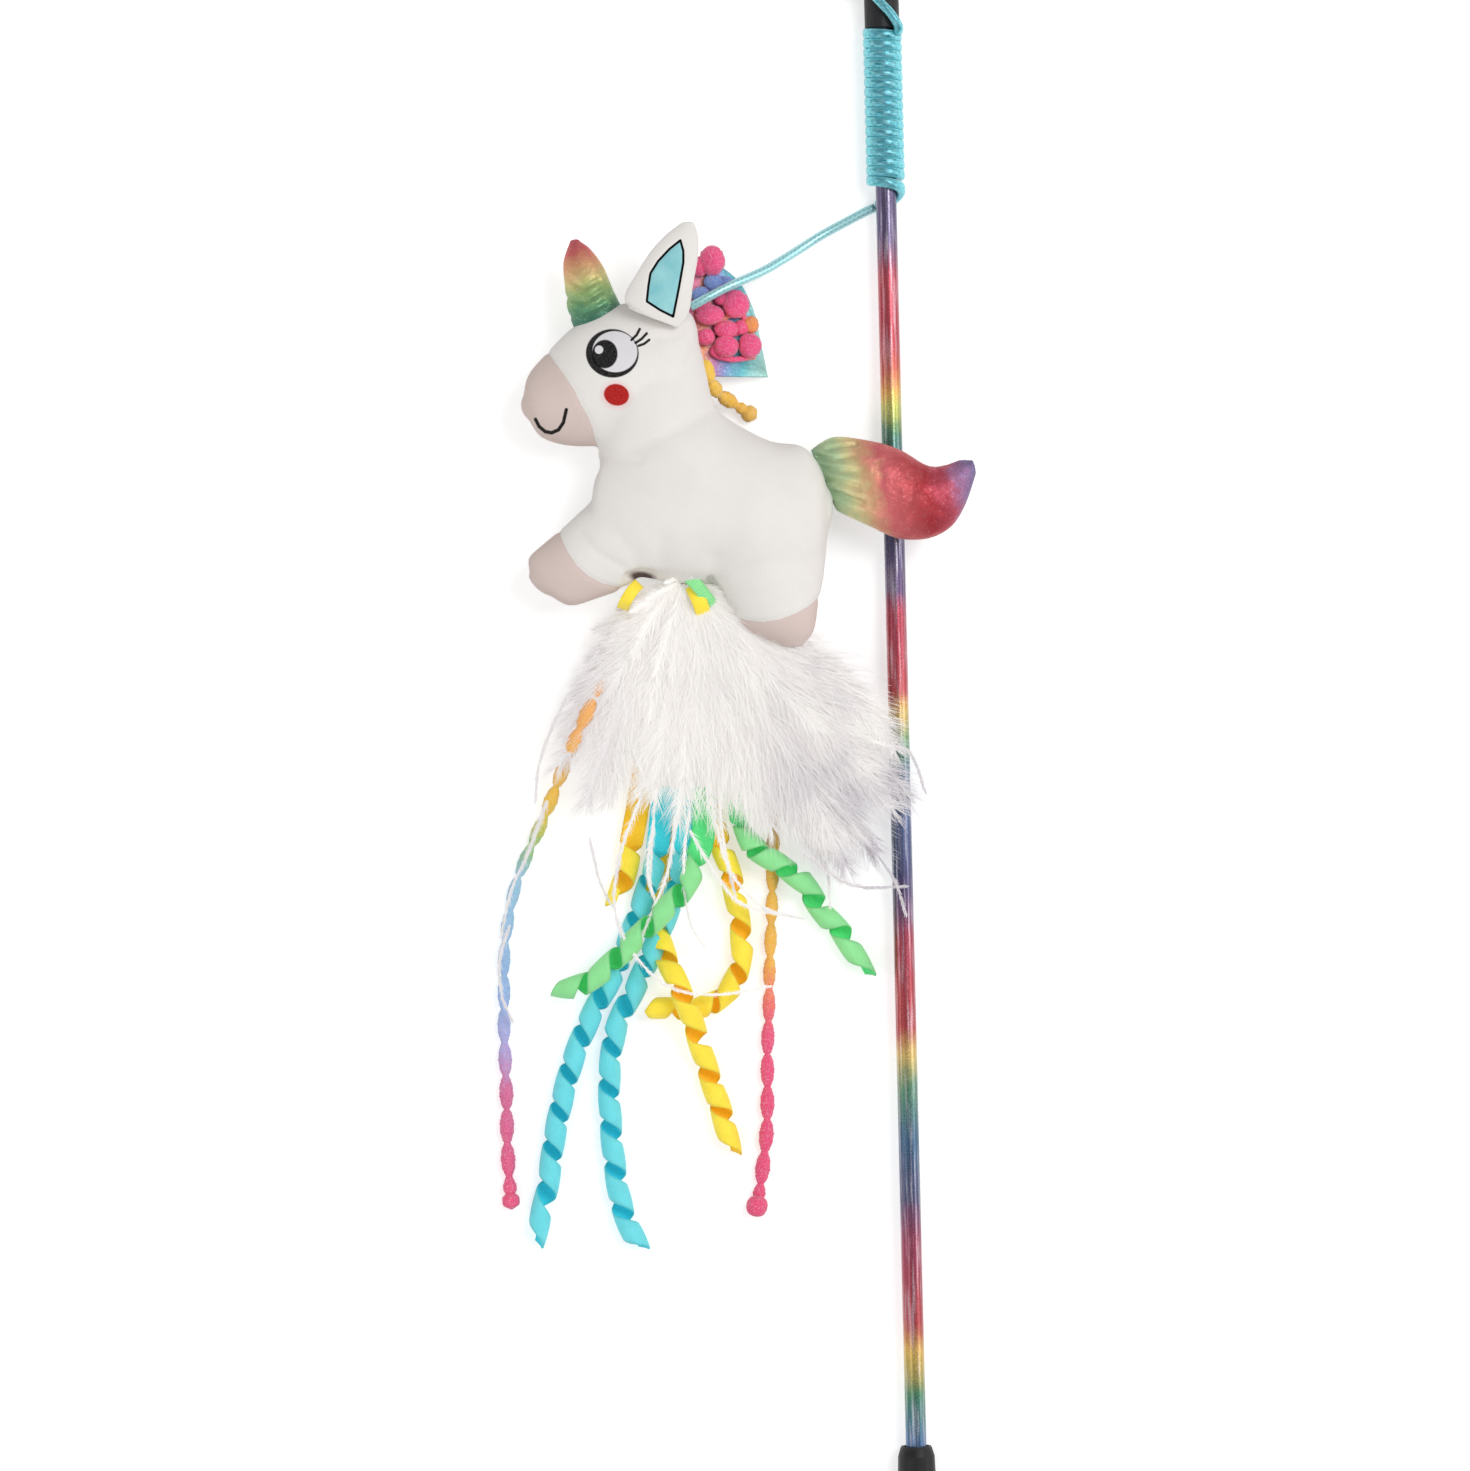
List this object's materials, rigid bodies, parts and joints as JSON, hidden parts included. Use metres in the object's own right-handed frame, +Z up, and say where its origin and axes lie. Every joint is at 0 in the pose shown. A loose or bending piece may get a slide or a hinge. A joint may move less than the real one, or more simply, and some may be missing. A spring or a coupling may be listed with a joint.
{
  "type": "cat teaser wand",
  "caption": "Cat teaser wand: slim rod with a grip and tip sleeve, cord wound near the tip, and a stuffed unicorn toy with a fabric mane, tail, feathers, curled ribbons and bobble yarns.",
  "frame": {"origin": "centre of the handle's flat butt face, on the wand's axis", "axes": "+Y along the wand from butt to tip, +Z up from the surface it lies on, +X to the right seen from above"},
  "size_m": [0.1474, 0.5649, 0.0325],
  "materials": {
    "tube": "smooth extruded",
    "rainbow_film": "metallic rainbow film",
    "black_plastic": "moulded",
    "satin_cord": "satin braid",
    "white_plush": "short plush",
    "pink_plush": "short plush",
    "rainbow_foil": "metallic fabric",
    "red_foil": "metallic fabric",
    "teal_foil": "metallic fabric",
    "pink_yarn": "bobble yarn",
    "yellow_yarn": "bobble yarn",
    "mixed_yarn": "bobble yarn in changing colours",
    "feather": "downy feathers",
    "teal_ribbon": "ribbed ribbon",
    "green_ribbon": "ribbed ribbon",
    "yellow_ribbon": "ribbed ribbon"
  },
  "bodies": {
    "wand": {"rod": "tube", "rod_film": "rainbow_film", "handle_grip": "black_plastic", "tip_sleeve": "black_plastic", "cord_knot": "satin_cord", "cord_tip_lead": "satin_cord", "cord_winding": "satin_cord"},
    "cord_link": {"cord_to_toy": "satin_cord"},
    "toy": {"torso": "white_plush", "head": "white_plush", "muzzle": "pink_plush", "front_leg": "white_plush", "front_hoof": "pink_plush", "hind_leg": "white_plush", "hind_hoof": "pink_plush", "horn": "rainbow_foil", "mane_flap": "teal_foil", "mane_bobbles": "pink_yarn", "streamer_tab": "white_plush"},
    "ear_body": {"ear": "white_plush"},
    "tail_body": {"tail": "red_foil"},
    "strand_body": {"mane_strand": "yellow_yarn"},
    "streamers": {"feathers": "feather", "teal_ribbon_left": "teal_ribbon", "teal_ribbon_right": "teal_ribbon", "green_ribbon_left": "green_ribbon", "green_ribbon_right": "green_ribbon", "yellow_ribbon_short": "yellow_ribbon", "yellow_ribbon_long": "yellow_ribbon", "yellow_ribbon_loop": "yellow_ribbon", "right_yarn": "mixed_yarn"},
    "left_yarn_body": {"left_yarn": "mixed_yarn"}
  },
  "joints": [
    {"name": "cord_swing", "type": "hinge", "parent": "wand", "child": "cord_link", "pos_m": [-0.0032, 0.472, -0.0045], "axis": [0, 0, 1], "range_deg": [-70, 0]},
    {"name": "toy_swing", "type": "hinge", "parent": "cord_link", "child": "toy", "pos_m": [-0.0594, 0.4425, 0.0106], "axis": [0, 0, 1], "range_deg": [-15, 0]},
    {"name": "ear_flop", "type": "hinge", "parent": "toy", "child": "ear_body", "pos_m": [-0.0708, 0.4382, 0.0239], "axis": [0.9258, -0.3779, 0], "range_deg": [0, 45]},
    {"name": "tail_lift", "type": "hinge", "parent": "toy", "child": "tail_body", "pos_m": [-0.0188, 0.389, 0.01], "axis": [0.2099, -0.9777, 0], "range_deg": [0, 25]},
    {"name": "mane_strand_swing", "type": "hinge", "parent": "toy", "child": "strand_body", "pos_m": [-0.0534, 0.4195, 0.0074], "axis": [0, 0, 1], "range_deg": [-8, 20]},
    {"name": "streamer_swing", "type": "hinge", "parent": "toy", "child": "streamers", "pos_m": [-0.0629, 0.3584, 0.002], "axis": [0, 0, 1], "range_deg": [-10, 0]},
    {"name": "left_yarn_swing", "type": "hinge", "parent": "streamers", "child": "left_yarn_body", "pos_m": [-0.0657, 0.3555, 0.0024], "axis": [0, 0, 1], "range_deg": [-8, 0]}
  ]
}
